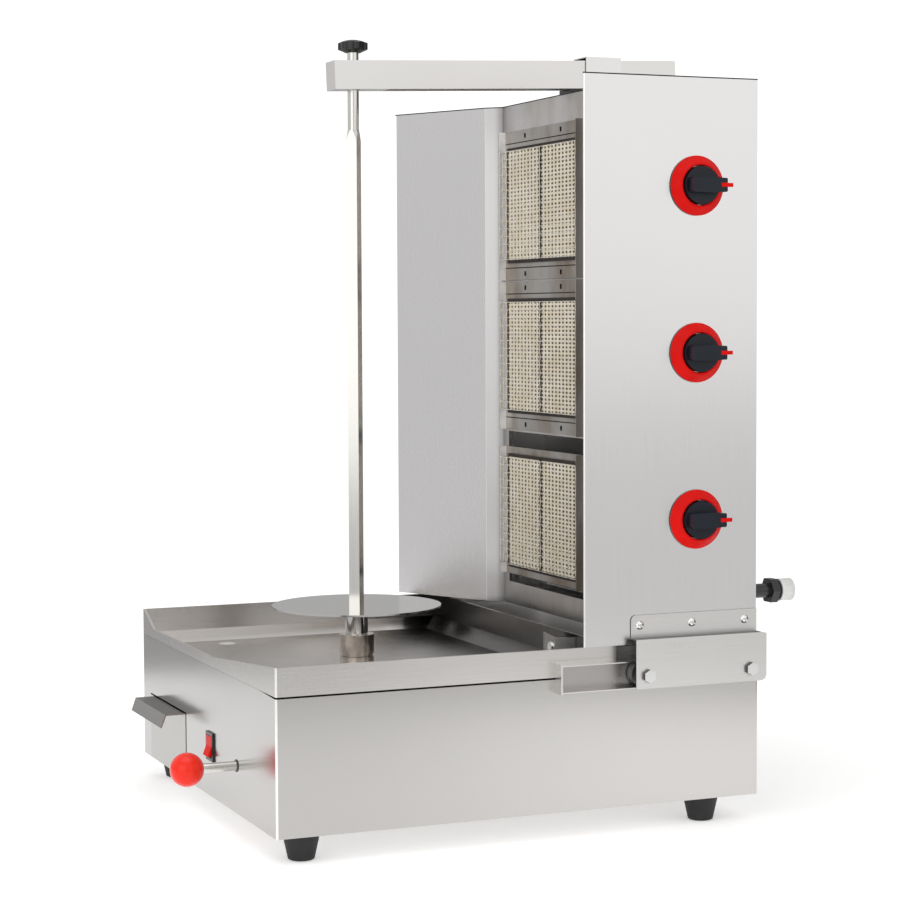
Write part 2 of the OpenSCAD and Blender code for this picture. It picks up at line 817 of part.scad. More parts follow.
module valve_spindle_1() { valve_spindle(0); }
module valve_spindle_2() { valve_spindle(1); }
module valve_spindle_3() { valve_spindle(2); }

module knob_1() { knob(0); }
module knob_2() { knob(1); }
module knob_3() { knob(2); }

// ---- Brackets, rollers, rod ----

module side_bracket() {
    x0 = half_t + gap;
    x1 = half_t + cover_out;
    difference() {
        union() {
            plate_yz(x0, x0 + t) polygon([
                [bracket_front_y, bracket_fold_z], [bracket_rear_y, bracket_fold_z],
                [bracket_rear_y, bracket_top_z], [bracket_front_y + 5, bracket_top_z],
                [bracket_front_y + 1.5, bracket_top_z - 1.5], [bracket_front_y, bracket_top_z - 5]
            ]);
            box([x0, bracket_front_y, bracket_fold_z - t], [x1, bracket_rear_y, bracket_fold_z]);
            plate_yz(x1 - t, x1) polygon([
                [bracket_front_y, cover_z], [cover_rear_y - 6, cover_z], [cover_rear_y - 1.8, cover_z + 1.8],
                [cover_rear_y, cover_z + 6], [cover_rear_y, bracket_fold_z - t],
                [bracket_rear_y, bracket_fold_z], [bracket_front_y, bracket_fold_z]
            ]);
        }
        for (y = screw_y) rod_along_x([x0 - big, y, screw_z], screw_r + gap, 2 * big);
        for (y = roller_y) rod_along_x([x1 - 5, y, roller_z], bolt_r + gap, big);
    }
}

module side_bracket_right() {
    color(steel) place() side_bracket();
}

module side_bracket_left() {
    color(steel) place() mirror([1, 0, 0]) side_bracket();
}

module bracket_screws() {
    x = half_t + gap + t;
    color(steel) place() for (side = [-1, 1]) on_side(side)
        for (y = screw_y) translate([0, y, screw_z]) union() {
            rod_along_x([x - 9, 0, 0], screw_r, 10);
            translate([x + 0.05, 0, 0]) rotate([0, 90, 0])
                rotate_extrude() polygon([[0, 0], [4.9, 0], [4.6, 1.1], [3.4, 2.3], [1.8, 2.9], [0, 3]]);
        }
}

module roller_bolts() {
    x1 = half_t + cover_out;
    color(steel) place() for (side = [-1, 1]) on_side(side)
        for (y = roller_y) translate([0, y, roller_z]) union() {
            rod_along_x([half_w + 2.2, 0, 0], bolt_r, x1 + 1 - half_w - 2.2);
            rod_along_x([half_w + roller_x0 + roller_w + 0.3, 0, 0], 6.5,
                        x1 - t - gap - half_w - roller_x0 - roller_w - 0.3);
            translate([x1 + gap, 0, 0]) rotate([0, 90, 0]) cylinder(r = 7.4, h = bolt_head_h, $fn = 6);
        }
}

module roller(side, y) {
    color(dark_steel) place() on_side(side) translate([half_w + roller_x0, y, roller_z]) rotate([0, 90, 0])
        difference() {
            cylinder(r = roller_r, h = roller_w);
            translate([0, 0, -1]) cylinder(r = bolt_r + bolt_fit, h = roller_w + 2);
        }
}

module roller_right_front() { roller(1, roller_y[0]); }
module roller_right_rear() { roller(1, roller_y[1]); }
module roller_left_front() { roller(-1, roller_y[0]); }
module roller_left_rear() { roller(-1, roller_y[1]); }

module push_rod() {
    color(steel) place() union() {
        rod_along_y([rod_x, ball_y + 4, rod_z], rod_r, rod_link_y + 1 - ball_y - 4);
        box([rod_x - 12, rod_link_y, rod_z - 9], [rod_x + 12, rod_link_y + 3, tower_z - gap]);
        box([rod_x - 12, rod_link_y, tower_z - gap - t], [rod_x + 12, rod_link_y + 32, tower_z - gap]);
    }
}

module rod_ball() {
    r = rod_r + 0.05;
    mouth = sqrt(ball_r * ball_r - r * r);
    color(red) place() translate([rod_x, ball_y, rod_z]) rotate([-90, 0, 0]) difference() {
        rotate_extrude($fn = 96) intersection() {
            circle(r = ball_r, $fn = 96);
            translate([0, -ball_r]) square([ball_r, ball_r + mouth]);
        }
        translate([0, 0, 3.5]) cylinder(r = r, h = big);
    }
}

// ---- Arm ----

module arm_bracket() {
    a = arm_bracket_y[0];
    b = arm_bracket_y[1];
    w = arm_w / 2 + 1;
    color(steel) place() union() {
        for (side = [-1, 1]) on_side(side) {
            box([w, a, tower_top_z + gap], [w + t, b, arm_bracket_z + t]);
            box([w, a, tower_top_z + gap], [w + 16, b, tower_top_z + gap + t]);
        }
        box([-w - t, a, arm_bracket_z], [w + t, b, arm_bracket_z + t]);
    }
}

module arm_slide_block() {
    y = 456.5;
    top = arm_top_z + (y - 4 - arm_pivot_y) * tan(arm_droop) - arm_h / cos(arm_droop) - 0.4;
    color(black) place() box([-14, y - 4, tower_top_z + gap], [14, y + 4, top]);
}

module arm() {
    w = arm_w / 2;
    front = arm_front_y - arm_pivot_y;
    rear = arm_rear_y - arm_pivot_y;
    hole = (spit_y - arm_pivot_y - arm_h / 2 * sin(arm_droop)) / cos(arm_droop);
    color(steel) place() translate([0, arm_pivot_y, arm_top_z]) rotate([arm_droop, 0, 0]) difference() {
        union() {
            box([-w, front, -arm_t], [w, rear, 0]);
            for (side = [-1, 1]) on_side(side) box([w - arm_t, front, -arm_h], [w, rear, 0]);
            box([-w, front, -arm_h], [w, front + arm_t, 0]);
            box([-w, front, -arm_h], [w, hole + 40, -arm_h + arm_t]);
        }
        rod_along_z([0, hole, -arm_h - 5], arm_hole_r, arm_h + 10);
    }
}

base_casing();
bottom_plate();
feet();
rear_deck();
drip_tray();
tray_stop();
tray_stop_screw();
drawer_runners();
rail_right();
rail_left();
motor_bracket();
gearmotor();
bearing_housing();
hub_seal();
switch_bezel();
rod_bush();
cable_gland();
drawer_box();
drawer_front();
switch_rocker();
drive_hub();
motor_shaft();
spit_bar();
meat_disc();
top_knob();
tower_side_right();
tower_side_left();
tower_top();
tower_bottom();
tower_back();
burner_panel();
burner_1();
burner_2();
burner_3();
ceramic_tiles();
wire_guards();
gas_manifold();
gas_valves();
gas_injectors();
knob_bezels();
side_bracket_right();
side_bracket_left();
bracket_screws();
roller_bolts();
arm_bracket();
push_rod();
rod_ball();
roller_right_front();
roller_right_rear();
roller_left_front();
roller_left_rear();
valve_spindle_1();
valve_spindle_2();
valve_spindle_3();
knob_1();
knob_2();
knob_3();
arm_slide_block();
arm();
gas_cap();
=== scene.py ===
import math

import bmesh
import bpy
from mathutils import Matrix, Vector


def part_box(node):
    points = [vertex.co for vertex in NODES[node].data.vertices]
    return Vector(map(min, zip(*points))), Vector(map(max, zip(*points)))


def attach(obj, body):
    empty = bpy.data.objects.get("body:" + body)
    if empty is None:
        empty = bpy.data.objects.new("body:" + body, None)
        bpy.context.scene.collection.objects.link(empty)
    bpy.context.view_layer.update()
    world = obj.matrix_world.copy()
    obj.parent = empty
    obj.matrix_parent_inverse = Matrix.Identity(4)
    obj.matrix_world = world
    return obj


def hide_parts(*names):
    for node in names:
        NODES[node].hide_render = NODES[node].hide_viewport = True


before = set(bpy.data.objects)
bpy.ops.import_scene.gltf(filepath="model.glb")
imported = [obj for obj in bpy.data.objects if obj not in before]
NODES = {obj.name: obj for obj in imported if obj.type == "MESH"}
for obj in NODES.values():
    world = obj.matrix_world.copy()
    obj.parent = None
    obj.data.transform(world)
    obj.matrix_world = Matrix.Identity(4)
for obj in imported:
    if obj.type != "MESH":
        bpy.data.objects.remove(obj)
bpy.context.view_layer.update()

SCENE = bpy.context.scene
MM = 0.001

# The photograph's view: yaw turns from the front towards the right side, pitch looks down
CAMERA_PLACE = Vector((2.44995, -0.98745, 0.56405))
CAMERA_YAW = math.radians(67.38)
CAMERA_PITCH = math.radians(3.36)
CAMERA_ROLL = math.radians(-0.25)
LENS_MM = 90.7
SENSOR_MM = 36

FLOOR_RADIUS = 1.15
FLOOR_DROP = 0.3 * MM

BURNERS = ["burner_1", "burner_2", "burner_3"]
KNOBS = ["knob_1", "knob_2", "knob_3"]
SHEET = 1.2 * MM

WIRE_R = 0.5 * MM
MESH_ROWS = 14
MESH_COLS = 22
MESH_BEND = 1.0 * MM


# ---------------------------------------------------------------- node trees

SOFT = "SMOOTHSTEP"
MIX_A, MIX_B, MIX_RESULT = 6, 7, 2      # places of the colour sockets on a Mix node


class Tree:
    """A node tree with short calls; the methods that add nodes to it return an output."""

    def __init__(self, tree, coordinates="Object"):
        tree.nodes.clear()
        self.tree = tree
        self.place = self.new("ShaderNodeTexCoord").outputs[coordinates]

    def new(self, kind, **settings):
        """Add a node and return the node itself."""
        node = self.tree.nodes.new(kind)
        for name, value in settings.items():
            setattr(node, name, value)
        return node

    def feed(self, socket, value):
        """Link a socket to an output, or give it a constant."""
        if isinstance(value, bpy.types.NodeSocket):
            self.tree.links.new(value, socket)
        else:
            socket.default_value = value

    def math(self, operation, *values):
        node = self.new("ShaderNodeMath", operation=operation)
        for socket, value in zip(node.inputs, values):
            self.feed(socket, value)
        return node.outputs[0]

    def axis(self, letter):
        split = self.new("ShaderNodeSeparateXYZ")
        self.feed(split.inputs[0], self.place)
        return split.outputs[letter]

    def toward(self, direction):
        """The coordinate's share along a direction: 1 when it points that way, 0 when across it."""
        dot = self.new("ShaderNodeVectorMath", operation="DOT_PRODUCT")
        dot.inputs[1].default_value = direction
        self.feed(dot.inputs[0], self.place)
        return dot.outputs["Value"]

    def noise(self, scale, detail, stretch=(1, 1, 1)):
        mapping = self.new("ShaderNodeMapping")
        mapping.inputs["Scale"].default_value = stretch
        self.feed(mapping.inputs["Vector"], self.place)
        noise = self.new("ShaderNodeTexNoise")
        noise.inputs["Scale"].default_value = scale
        noise.inputs["Detail"].default_value = detail
        self.feed(noise.inputs["Vector"], mapping.outputs[0])
        return noise.outputs["Fac"]

    def ranged(self, source, low, high, start=0.3, stop=0.7, kind="LINEAR"):
        """Map start to low and stop to high, held level beyond them."""
        node = self.new("ShaderNodeMapRange", interpolation_type=kind)
        limits = {"From Min": start, "From Max": stop, "To Min": low, "To Max": high}
        for name, value in limits.items():
            node.inputs[name].default_value = value
        self.feed(node.inputs["Value"], source)
        return node.outputs[0]

    def blended(self, source, first, second, start=0.35, stop=0.65):
        """Go from the first colour at start to the second at stop."""
        ramp = self.new("ShaderNodeValToRGB")
        for element, position, colour in zip(ramp.color_ramp.elements, (start, stop), (first, second)):
            element.position = position
            element.color = (*colour, 1)
        self.feed(ramp.inputs[0], source)
        return ramp.outputs[0]

    def mixed(self, factor, first, second, blend="MIX"):
        mix = self.new("ShaderNodeMix", data_type="RGBA", blend_type=blend)
        self.feed(mix.inputs["Factor"], factor)
        self.feed(mix.inputs[MIX_A], first)
        self.feed(mix.inputs[MIX_B], second)
        return mix.outputs[MIX_RESULT]

    def faded(self, colour, axis, start, stop, factor):
        """Multiply a colour by a factor that is 1 at start and reaches its full value at stop."""
        along = self.ranged(self.axis(axis), 1.0, factor, start, stop, SOFT)
        return self.mixed(1.0, colour, along, "MULTIPLY")

    def bumps(self, *layers):
        """Lay bumps over each other; a layer is a height, a strength and a distance in metres."""
        normal = None
        for height, strength, distance in layers:
            bump = self.new("ShaderNodeBump")
            bump.inputs["Strength"].default_value = strength
            bump.inputs["Distance"].default_value = distance
            self.feed(bump.inputs["Height"], height)
            if normal is not None:
                self.feed(bump.inputs["Normal"], normal)
            normal = bump.outputs[0]
        return normal


def new_material(name):
    """A material with a bare shader: returns it, its node tree and the shader's sockets."""
    mat = bpy.data.materials.new(name)
    mat.use_nodes = True
    tree = Tree(mat.node_tree)
    bsdf = tree.new("ShaderNodeBsdfPrincipled")
    out = tree.new("ShaderNodeOutputMaterial")
    tree.feed(out.inputs[0], bsdf.outputs[0])
    return mat, tree, bsdf.inputs


def scaled(colour, factor):
    return tuple(c * factor for c in colour)


# ---------------------------------------------------------------- camera, floor, light

def make_camera():
    ahead = Vector((-math.sin(CAMERA_YAW) * math.cos(CAMERA_PITCH),
                    math.cos(CAMERA_YAW) * math.cos(CAMERA_PITCH),
                    -math.sin(CAMERA_PITCH)))
    level = Vector((math.cos(CAMERA_YAW), math.sin(CAMERA_YAW), 0))
    above = level.cross(ahead)
    right = level * math.cos(CAMERA_ROLL) + above * math.sin(CAMERA_ROLL)
    up = above * math.cos(CAMERA_ROLL) - level * math.sin(CAMERA_ROLL)
    matrix = Matrix((right, up, -ahead)).transposed().to_4x4()
    matrix.translation = CAMERA_PLACE
    data = bpy.data.cameras.new("camera")
    data.sensor_width = SENSOR_MM
    data.lens = LENS_MM
    data.clip_start = 0.05
    data.clip_end = 60
    camera = bpy.data.objects.new("camera", data)
    SCENE.collection.objects.link(camera)
    camera.matrix_world = matrix
    SCENE.camera = camera


def make_world():
    """A pale room, dimmer on the left, brighter above and dark behind; the camera sees a white backdrop."""
    world = bpy.data.worlds.new("studio")
    SCENE.world = world
    world.use_nodes = True
    tree = Tree(world.node_tree, "Generated")
    leftward = tree.toward((-0.92, 0.385, 0.0))
    rearward = tree.toward((-0.12, 0.993, 0.0))
    left_dim = tree.ranged(leftward, low=0.68, high=0.46, start=0.1, stop=1.0, kind=SOFT)
    top_lift = tree.ranged(tree.axis("Z"), low=0.92, high=1.2, start=-0.2, stop=0.6, kind=SOFT)
    rear_dim = tree.ranged(rearward, low=1.0, high=0.2, start=0.62, stop=0.86, kind=SOFT)
    strength = tree.math("MULTIPLY", tree.math("MULTIPLY", left_dim, top_lift), rear_dim)
    room = tree.new("ShaderNodeBackground")
    room.inputs["Color"].default_value = (1.0, 0.995, 0.99, 1)
    tree.feed(room.inputs["Strength"], strength)
    backdrop = tree.new("ShaderNodeBackground")
    backdrop.inputs["Color"].default_value = (1, 1, 1, 1)
    backdrop.inputs["Strength"].default_value = 1.15
    path = tree.new("ShaderNodeLightPath")
    mix = tree.new("ShaderNodeMixShader")
    tree.feed(mix.inputs[0], path.outputs["Is Camera Ray"])
    tree.feed(mix.inputs[1], room.outputs[0])
    tree.feed(mix.inputs[2], backdrop.outputs[0])
    out = tree.new("ShaderNodeOutputWorld")
    tree.feed(out.inputs[0], mix.outputs[0])


def area_light(name, place, aim, size, radiance, colour=(1, 1, 1)):
    """A soft box that shines evenly; radiance is what a mirror facing it shows."""
    data = bpy.data.lights.new(name, "AREA")
    data.shape = "RECTANGLE"
    data.size, data.size_y = size
    data.energy = radiance * math.pi * size[0] * size[1]
    data.color = colour
    lamp = bpy.data.objects.new(name, data)
    SCENE.collection.objects.link(lamp)
    lamp.location = place
    lamp.rotation_euler = (Vector(aim) - Vector(place)).to_track_quat("-Z", "Y").to_euler()


def make_floor():
    """A white disc just under the feet, lit a little from within so that only soft shadows show."""
    mesh = bpy.data.meshes.new("floor")
    bm = bmesh.new()
    bmesh.ops.create_circle(bm, cap_ends=True, segments=96, radius=FLOOR_RADIUS)
    bm.to_mesh(mesh)
    bm.free()
    floor = bpy.data.objects.new("floor", mesh)
    SCENE.collection.objects.link(floor)
    floor.location.z = -FLOOR_DROP
    mat, _, shader = new_material("floor_white")
    shader["Base Color"].default_value = (0.93, 0.93, 0.93, 1)
    shader["Roughness"].default_value = 0.6
    shader["Specular IOR Level"].default_value = 0.0
    shader["Emission Color"].default_value = (1, 1, 1, 1)
    shader["Emission Strength"].default_value = 0.34
    mesh.materials.append(mat)


make_camera()
make_world()
make_floor()
area_light("top_soft", place=(0.3, -0.5, 2.7), aim=(0, 0, 0.3), size=(2.2, 2.2), radiance=0.9)
area_light("right_panel", place=(2.35, 1.1, 1.15), aim=(0.2, 0.15, 0.75), size=(2.8, 1.5), radiance=0.34)
area_light("front_left_panel", place=(-2.3, -1.3, 0.9), aim=(0, -0.2, 0.3), size=(0.9, 1.2), radiance=0.25)
area_light("camera_side_panel", place=(2.1, -2.7, 1.25), aim=(0, 0, 0.5), size=(3.0, 2.3), radiance=0.8,
           colour=(1.0, 0.985, 0.96))
SCENE.view_settings.view_transform = "Standard"


# ---------------------------------------------------------------- materials

# Noise drawn out along one axis, which is the direction of the grain
GRAIN = {"x": (0.012, 1, 1), "y": (1, 0.012, 1), "z": (1, 1, 0.012)}


def brushed(name, colour, rough, grain, spread=0.04, dent=0.12, shade=0.98,
            painted_shade=None, painted_glow=0.0, highlight_line=None):
    """Satin sheet steel: fine grain along one axis, soft cloudy polish and very shallow waves in the sheet.

    The fade (axis, start, stop and factor) changes its colour along an axis: painted shade.
    The glow is emission that lights the whole surface a little: a painted glow.
    The line (axis, place, half width and glow) is an emitting bright line along a fold: a painted highlight.
    """
    mat, tree, shader = new_material(name)
    fine = tree.noise(scale=1100, detail=4, stretch=GRAIN[grain])
    cloud = tree.noise(scale=5, detail=2)
    wave = tree.noise(scale=2.2, detail=1)
    tone = tree.blended(fine, scaled(colour, shade), colour)
    # Painted shade: the fade multiplies the colour by a factor along an axis
    if painted_shade:
        tone = tree.faded(tone, *painted_shade)
    tree.feed(shader["Base Color"], tone)
    shader["Metallic"].default_value = 1.0
    half = spread / 2
    grain_rough = tree.ranged(fine, rough - half, rough + half)
    tree.feed(shader["Roughness"], tree.math("ADD", grain_rough, tree.ranged(cloud, -half, half)))
    tree.feed(shader["Normal"], tree.bumps((fine, 0.018, 0.0002), (wave, dent, 0.004)))
    # Painted light: emission, as a bright line along a fold or as a faint glow over the whole surface
    shader["Emission Color"].default_value = (1, 1, 1, 1)
    if highlight_line:
        axis, place, half_width, highlight_glow = highlight_line
        on_highlight_line = tree.math("COMPARE", tree.axis(axis), place, half_width)
        tree.feed(shader["Emission Strength"], tree.math("MULTIPLY", on_highlight_line, highlight_glow))
    else:
        shader["Emission Strength"].default_value = painted_glow
    return mat


def turned(name, colour, rough):
    """Machined steel or brass with fine rings round the vertical axis and slight stains."""
    mat, tree, shader = new_material(name)
    rings = tree.noise(scale=2600, detail=2, stretch=(0.02, 0.02, 1))
    stain = tree.noise(scale=60, detail=4)
    tree.feed(shader["Base Color"], tree.blended(stain, scaled(colour, 0.75), colour))
    shader["Metallic"].default_value = 1.0
    tree.feed(shader["Roughness"], tree.ranged(stain, rough - 0.05, rough + 0.1))
    tree.feed(shader["Normal"], tree.bumps((rings, 0.15, 0.0003)))
    return mat


def plastic(name, colour, rough, speck=900, coat=0.0, bump=0.1, vary=0.8, shine=0.5):
    """Moulded plastic, rubber or paint: faint mottling, fine surface texture, optional clear coat."""
    mat, tree, shader = new_material(name)
    mottle = tree.noise(scale=30, detail=3)
    specks = tree.noise(scale=speck, detail=3)
    tree.feed(shader["Base Color"], tree.blended(mottle, scaled(colour, vary), colour))
    tree.feed(shader["Roughness"], tree.ranged(mottle, rough - 0.04, rough + 0.06))
    shader["Specular IOR Level"].default_value = shine
    shader["Coat Weight"].default_value = coat
    shader["Coat Roughness"].default_value = 0.06
    tree.feed(shader["Normal"], tree.bumps((specks, bump, 0.0003)))
    return mat


def heat_tinted(name, colour, tint, rough):
    """Sheet steel that has been hot: brownish patches over a dull grain."""
    mat, tree, shader = new_material(name)
    patch = tree.noise(scale=22, detail=4, stretch=(1, 1, 0.5))
    grain = tree.noise(scale=700, detail=3, stretch=(0.02, 1, 1))
    tree.feed(shader["Base Color"], tree.blended(patch, tint, colour, start=0.3, stop=0.6))
    shader["Metallic"].default_value = 1.0
    tree.feed(shader["Roughness"], tree.ranged(patch, rough + 0.12, rough))
    tree.feed(shader["Normal"], tree.bumps((grain, 0.12, 0.0004)))
    return mat


def ceramic(name):
    """Cream burner plate: rows of small fuel holes in a chalky face."""
    mat, tree, shader = new_material(name)
    waves = []
    for axis, pitch in (("X", 9.6 * MM), ("Z", 4.8 * MM)):
        phase = tree.math("MULTIPLY", tree.axis(axis), 2 * math.pi / pitch)
        waves.append(tree.math("COSINE", phase))
    hole = tree.ranged(tree.math("ADD", *waves), low=0.0, high=1.0, start=0.25, stop=1.0)
    chalk = tree.noise(scale=40, detail=4)
    cream = tree.blended(chalk, (0.84, 0.74, 0.56), (0.96, 0.90, 0.78))
    tree.feed(shader["Base Color"], tree.mixed(hole, cream, (0.12, 0.09, 0.065, 1)))
    shader["Roughness"].default_value = 0.85
    height = tree.math("SUBTRACT", 1.0, hole)
    tree.feed(shader["Normal"], tree.bumps((height, 0.8, 0.0012), (chalk, 0.2, 0.0006)))
    return mat


# The fades follow the photograph's soft shading along the part; STRIP's lies on the left wing's inner edge
SATIN_V = brushed("satin_vertical", (0.80, 0.79, 0.785), 0.25, "z")
SATIN_X = brushed("satin_crosswise", (0.78, 0.77, 0.76), 0.26, "x")
SATIN_Y = brushed("satin_lengthwise", (0.76, 0.745, 0.73), 0.31, "y")
# Painted shade: the casing's colour darkens by a fifth towards the front
CASING = brushed("satin_casing", (0.62, 0.605, 0.59), 0.20, "y", painted_shade=("Y", 0.22, -0.26, 0.80))
# Painted shade: the drawer front is the casing's steel, painted much darker
DRAWER = brushed("satin_drawer", (0.42, 0.41, 0.395), 0.22, "x")
# Painted shade: the strip is the side sheet's own steel painted darker, fading darker still on the left
# wing's inner edge
STRIP = brushed("shaded_strip", (0.60, 0.595, 0.60), 0.30, "z", spread=0.02, painted_shade=("X", -0.138, -0.1302, 0.60))
# Painted highlight: bright steel that glows a little, for the round front-right corners and the drain's inner
# wall
PAINTED_HIGHLIGHT_EDGE = brushed("glowing_highlight_edge", (0.92, 0.915, 0.90), 0.25, "y", spread=0.03, dent=0.0, painted_glow=0.10)
# Painted highlight: bright steel that glows, for the inside of each burner's left folded end
PAINTED_HIGHLIGHT_FOLD = brushed("painted_highlight_fold", (0.90, 0.885, 0.86), 0.35, "z", spread=0.03, dent=0.0, painted_glow=0.22)
# Painted highlight: an emitting bright line along the left wing's fold
WING = brushed("satin_wing", (0.77, 0.76, 0.765), 0.27, "z", spread=0.02, shade=0.995,
               highlight_line=("X", -0.145, 1.1 * MM, 0.35))
# Painted shade: brownish near-black for the burners' frames, slots, grooves and rims
BURNER_SHADE = plastic("burner_painted_shade", (0.020, 0.013, 0.009), 0.7)
# Painted shade: the rails' webs are darker, where their flanges shade them
SHADED_RAIL_WEB = brushed("shaded_rail_web", (0.44, 0.42, 0.41), 0.35, "y")
# Painted shade: the tray floor darkens to about a sixth towards the back, by the tower
TRAY = brushed("bright_tray", (0.66, 0.64, 0.62), 0.23, "y", spread=0.05, dent=0.16, shade=0.95,
               painted_shade=("Y", 0.02, 0.10, 0.16))
# Painted shade: the rim's colour darkens by a fifth towards the front
TRAY_RIM = brushed("tray_rim", (0.69, 0.67, 0.65), 0.26, "y", painted_shade=("Y", 0.0, -0.26, 0.80))
DECK = brushed("shaded_deck", (0.22, 0.205, 0.20), 0.30, "x")
# Dark steel: partly the side brackets' cut edges, partly painted shade there and on the bolt heads' flats
CUT_AND_SHADE = brushed("cut_edge_and_painted_shade", (0.10, 0.097, 0.095), 0.4, "x")
# Painted light: the zinc bolt heads glow a little
BOLT = brushed("zinc_bolt", (0.90, 0.90, 0.90), 0.2, "x", spread=0.05, dent=0.0, painted_glow=0.05)
POLISHED = brushed("polished_bar", (0.74, 0.73, 0.70), 0.16, "z", spread=0.05)
DISC = brushed("polished_disc", (0.66, 0.655, 0.64), 0.09, "x", spread=0.03, dent=0.05)
SCREW = brushed("bright_screw", (0.80, 0.80, 0.79), 0.18, "x", spread=0.05, dent=0.0)
ZINC = brushed("zinc_plate", (0.55, 0.56, 0.58), 0.35, "y")
WIRE = brushed("guard_wire", (0.88, 0.83, 0.74), 0.30, "z", spread=0.1, dent=0.0)
TURNED = turned("turned_steel", (0.66, 0.59, 0.53), 0.13)
ROLLER = turned("roller_steel", (0.30, 0.30, 0.31), 0.32)
BRASS = turned("valve_brass", (0.62, 0.44, 0.18), 0.3)
HOT = heat_tinted("hot_panel", (0.56, 0.545, 0.54), (0.44, 0.40, 0.36), 0.26)
BURNER = heat_tinted("burner_sheet", (0.40, 0.385, 0.365), (0.25, 0.20, 0.16), 0.34)
CERAMIC = ceramic("burner_plate")
BLACK = plastic("black_plastic", (0.012, 0.012, 0.014), 0.30)
RUBBER = plastic("black_rubber", (0.012, 0.012, 0.013), 0.62, speck=500, bump=0.3)
KNOB = plastic("knob_plastic", (0.006, 0.010, 0.018), 0.34, speck=1200, coat=0.10, shine=0.28)
RED = plastic("red_plastic", (0.78, 0.004, 0.002), 0.42, vary=0.85, shine=0.12)
BALL = plastic("red_ball", (0.95, 0.020, 0.004), 0.20, speck=700, coat=0.35, bump=0.03, vary=0.93, shine=0.2)
PIPE = plastic("pipe_enamel", (0.016, 0.016, 0.017), 0.33, speck=600, coat=0.2)
MOTOR = plastic("motor_enamel", (0.06, 0.065, 0.07), 0.45)
CAST = plastic("cast_iron", (0.07, 0.07, 0.07), 0.55, speck=400, bump=0.5)
MILKY = plastic("milky_cap", (0.82, 0.82, 0.80), 0.35)
# Painted shade: near-black for the shadow gap round the tower's top sheet
SEAM_SHADE = plastic("painted_seam_shade", (0.006, 0.006, 0.006), 0.8)


# ---------------------------------------------------------------- what each CAD node wears

DRESSES = [
    (CASING, ["base_casing"]),
    (TRAY, ["drip_tray"]),
    (DECK, ["rear_deck"]),
    (SATIN_X, ["tray_stop", "tower_top", "tower_bottom", "arm_bracket"]),
    (SATIN_Y, ["bottom_plate", "drawer_box", "rail_right", "rail_left", "side_bracket_right",
               "side_bracket_left", "arm"]),
    (SATIN_V, ["tower_side_right", "tower_back"]),
    (WING, ["tower_side_left"]),
    (DRAWER, ["drawer_front"]),
    (ZINC, ["drawer_runners", "motor_bracket"]),
    (SCREW, ["tray_stop_screw", "bracket_screws"]),
    (BOLT, ["roller_bolts"]),
    (POLISHED, ["motor_shaft", "spit_bar", "push_rod"]),
    (DISC, ["meat_disc"]),
    (TURNED, ["hub_seal", "drive_hub"]),
    (ROLLER, ["roller_right_front", "roller_right_rear", "roller_left_front", "roller_left_rear"]),
    (HOT, ["burner_panel"]),
    (BURNER, BURNERS),
    (CERAMIC, ["ceramic_tiles"]),
    (WIRE, ["wire_guards"]),
    (PIPE, ["gas_manifold"]),
    (BRASS, ["gas_valves", "gas_injectors", "valve_spindle_1", "valve_spindle_2", "valve_spindle_3"]),
    (RED, ["knob_bezels", "switch_rocker"]),
    (KNOB, KNOBS),
    (BALL, ["rod_ball"]),
    (BLACK, ["switch_bezel", "rod_bush", "cable_gland", "top_knob", "arm_slide_block"]),
    (RUBBER, ["feet"]),
    (MOTOR, ["gearmotor"]),
    (CAST, ["bearing_housing"]),
    (MILKY, ["gas_cap"]),
]
ROUNDED_EDGES_MM = [
    (0.3, ["hub_seal", "burner_panel", "tower_top", "drawer_front"]),
    (0.4, ["rail_right", "rail_left", "arm_bracket", "spit_bar", "meat_disc", "roller_bolts", "rod_bush",
           "arm_slide_block"]),
    (0.45, ["side_bracket_right", "side_bracket_left"]),
    (0.5, ["base_casing", "drip_tray", "arm", "knob_bezels", "gas_manifold", "drive_hub"]),
    (0.55, ["tower_side_right", "tower_side_left"]),
    (0.8, ["switch_bezel", "switch_rocker", "gas_cap", "feet"]),
    (1.0, ["top_knob", "gearmotor"]),
    (1.2, KNOBS),
]


def dress(node, mat):
    """Give a node one material in every slot that it has."""
    materials = NODES[node].data.materials
    for i in range(len(materials)):
        materials[i] = mat
    if not materials:
        materials.append(mat)


def round_edges(node, width):
    """Put a small bevel on the sharp edges, so that they catch the light."""
    bevel = NODES[node].modifiers.new("edge", "BEVEL")
    bevel.width = width
    bevel.segments = 2
    bevel.limit_method = "ANGLE"
    bevel.angle_limit = math.radians(32)
    bevel.harden_normals = True


for material, wearers in DRESSES:
    for wearer in wearers:
        dress(wearer, material)
for width_mm, wearers in ROUNDED_EDGES_MM:
    for wearer in wearers:
        round_edges(wearer, width_mm * MM)


# ---------------------------------------------------------------- faces with a material of their own

# A face's centre this close to a plane lies on it
NEAR = 0.5 * MM

# How much of a face's normal lies along an axis
SQUARE = 0.9
MOSTLY = 0.5
PARTLY = 0.15

DRAIN_LEFT_OF_MIDDLE = 205 * MM
DRAIN_BEHIND_FRONT = 91 * MM
DRAIN_RADIUS = 11.2 * MM

BEZEL_BLACK_BAND = 1.7 * MM
POINTER_LENGTH = 6.3 * MM
POINTER_RISE = 0.3 * MM

STRIP_INNER = 125.8 * MM
STRIP_OUTER = 142.5 * MM

FLANGE_BEHIND_TILES = 2.6 * MM
FRAME_HALF_WIDTH = 100 * MM
SLOTS_HALF_WIDTH = 104 * MM
FOLDED_END = 105 * MM


def paint(node, mat, test):
    """Give the faces whose centre c and normal n pass the test another material."""
    mesh = NODES[node].data
    mesh.materials.append(mat)
    for face in mesh.polygons:
        if test(face.center, face.normal):
            face.material_index = len(mesh.materials) - 1


